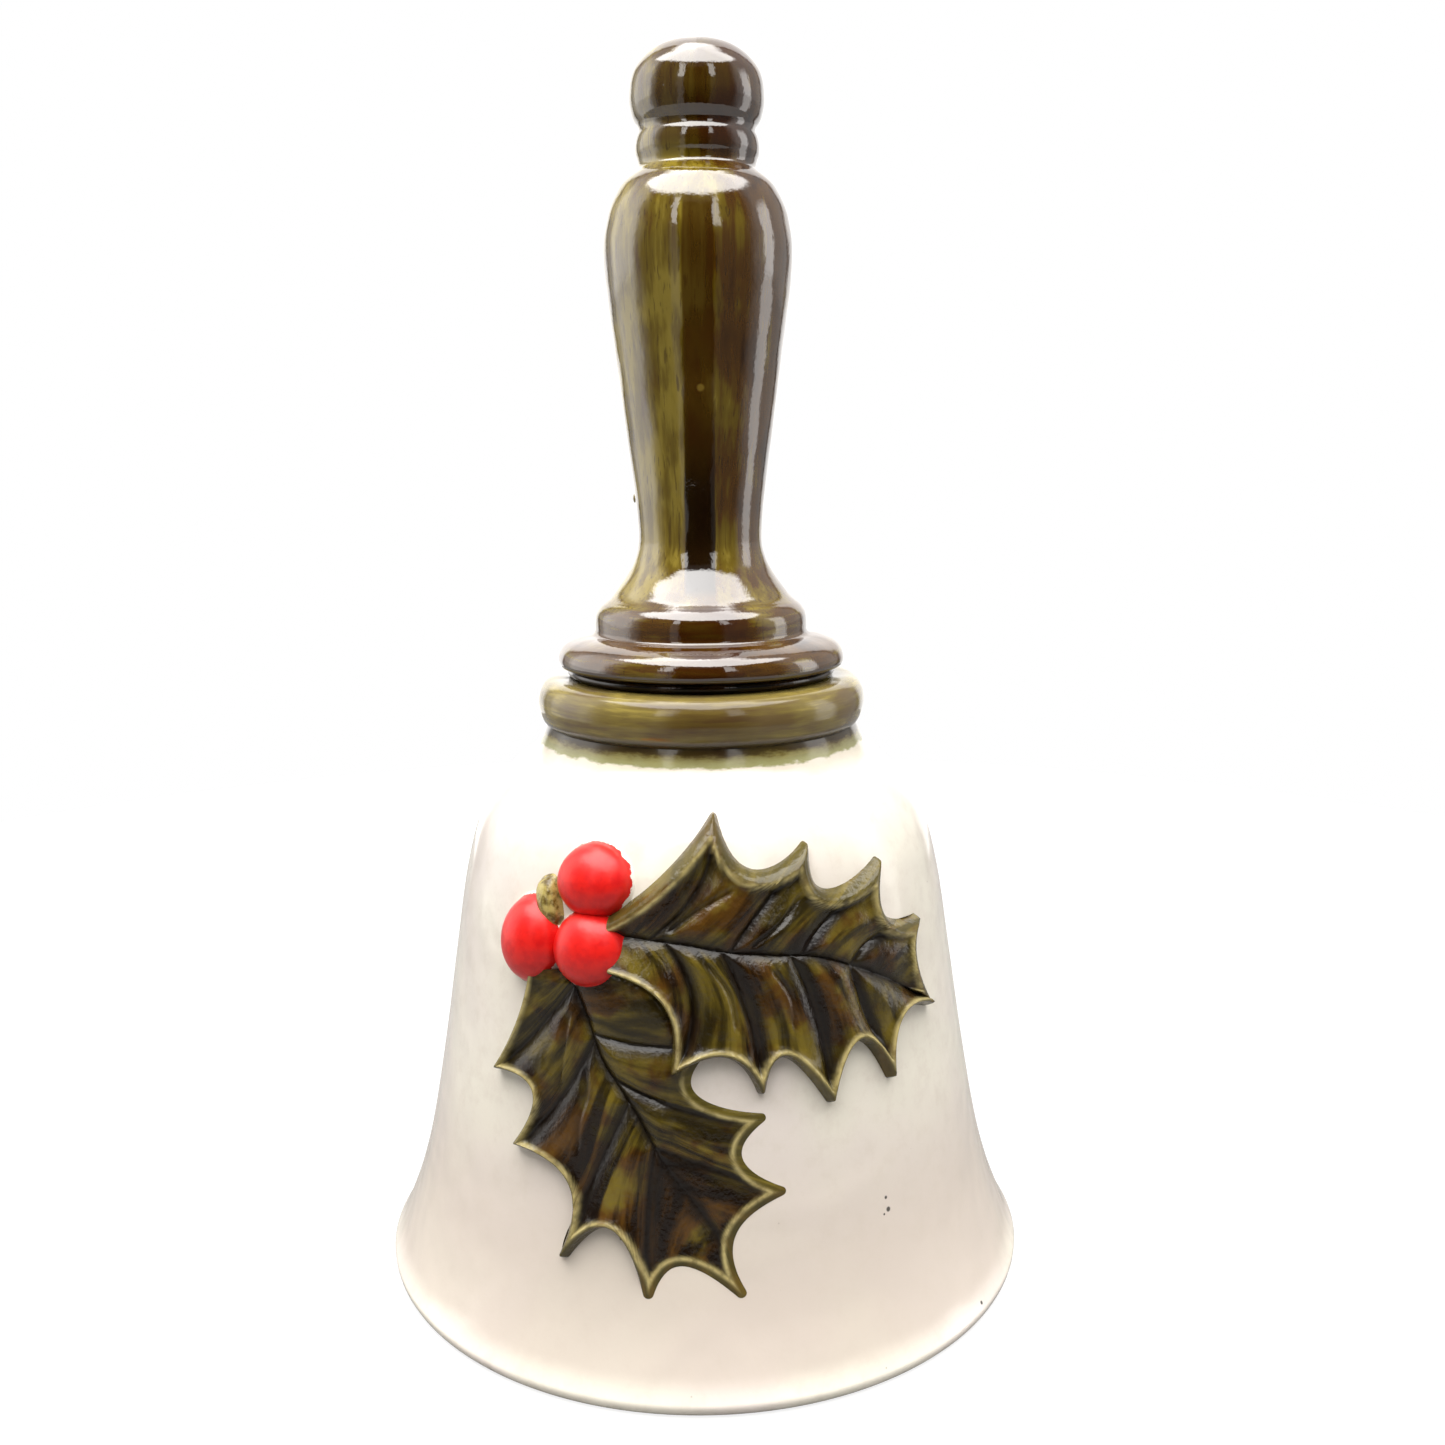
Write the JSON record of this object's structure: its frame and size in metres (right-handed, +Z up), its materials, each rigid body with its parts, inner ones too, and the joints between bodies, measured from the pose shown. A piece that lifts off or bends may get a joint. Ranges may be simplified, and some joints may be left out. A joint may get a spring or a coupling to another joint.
{
  "type": "hand bell ornament",
  "caption": "Upright ceramic hand bell with a turned handle, a holly sprig in relief on its front and a clapper hanging inside.",
  "frame": {"origin": "on the bell's axis, in the plane of the rim that it stands on", "axes": "+Z up along the bell's axis towards the knob; the holly sprig faces -Y; +X is to the right seen from the front"},
  "size_m": [0.1132, 0.1132, 0.205],
  "materials": {
    "white_glaze": "glossy warm white glaze over cast earthenware",
    "olive_glaze": "glossy brushed olive and brown glaze",
    "fused_glaze": "dark glaze pooled in the joint",
    "leaf_glaze": "glossy dark olive glaze, pooled in the veins and thin on the edges",
    "berry_paint": "satin red paint over the glaze",
    "plaster": "rough plaster",
    "steel_wire": "drawn wire, slightly tarnished",
    "clapper_glaze": "glossy white glaze",
    "washer_brass": "plain brass, dulled"
  },
  "bodies": {
    "bell": {"bell_shell": "white_glaze", "handle": "olive_glaze", "joining_bead": "fused_glaze", "holly_leaf_right": "leaf_glaze", "holly_leaf_lower": "leaf_glaze", "holly_stalk": "leaf_glaze", "berry_top": "berry_paint", "berry_left": "berry_paint", "berry_lower": "berry_paint", "throat_plug": "plaster", "hanger_staple": "steel_wire"},
    "link": {"hanger_link": "steel_wire"},
    "clapper": {"clapper_wire": "steel_wire", "clapper_ball": "clapper_glaze", "clapper_washer": "washer_brass"}
  },
  "joints": [
    {"name": "link_swing", "type": "hinge", "parent": "bell", "child": "link", "pos_m": [0, 0, 0.086], "axis": [1, 0, 0], "range_deg": [-24, 24]},
    {"name": "clapper_swing", "type": "hinge", "parent": "link", "child": "clapper", "pos_m": [0, 0, 0.075], "axis": [0, 1, 0], "range_deg": [-24, 24]}
  ]
}
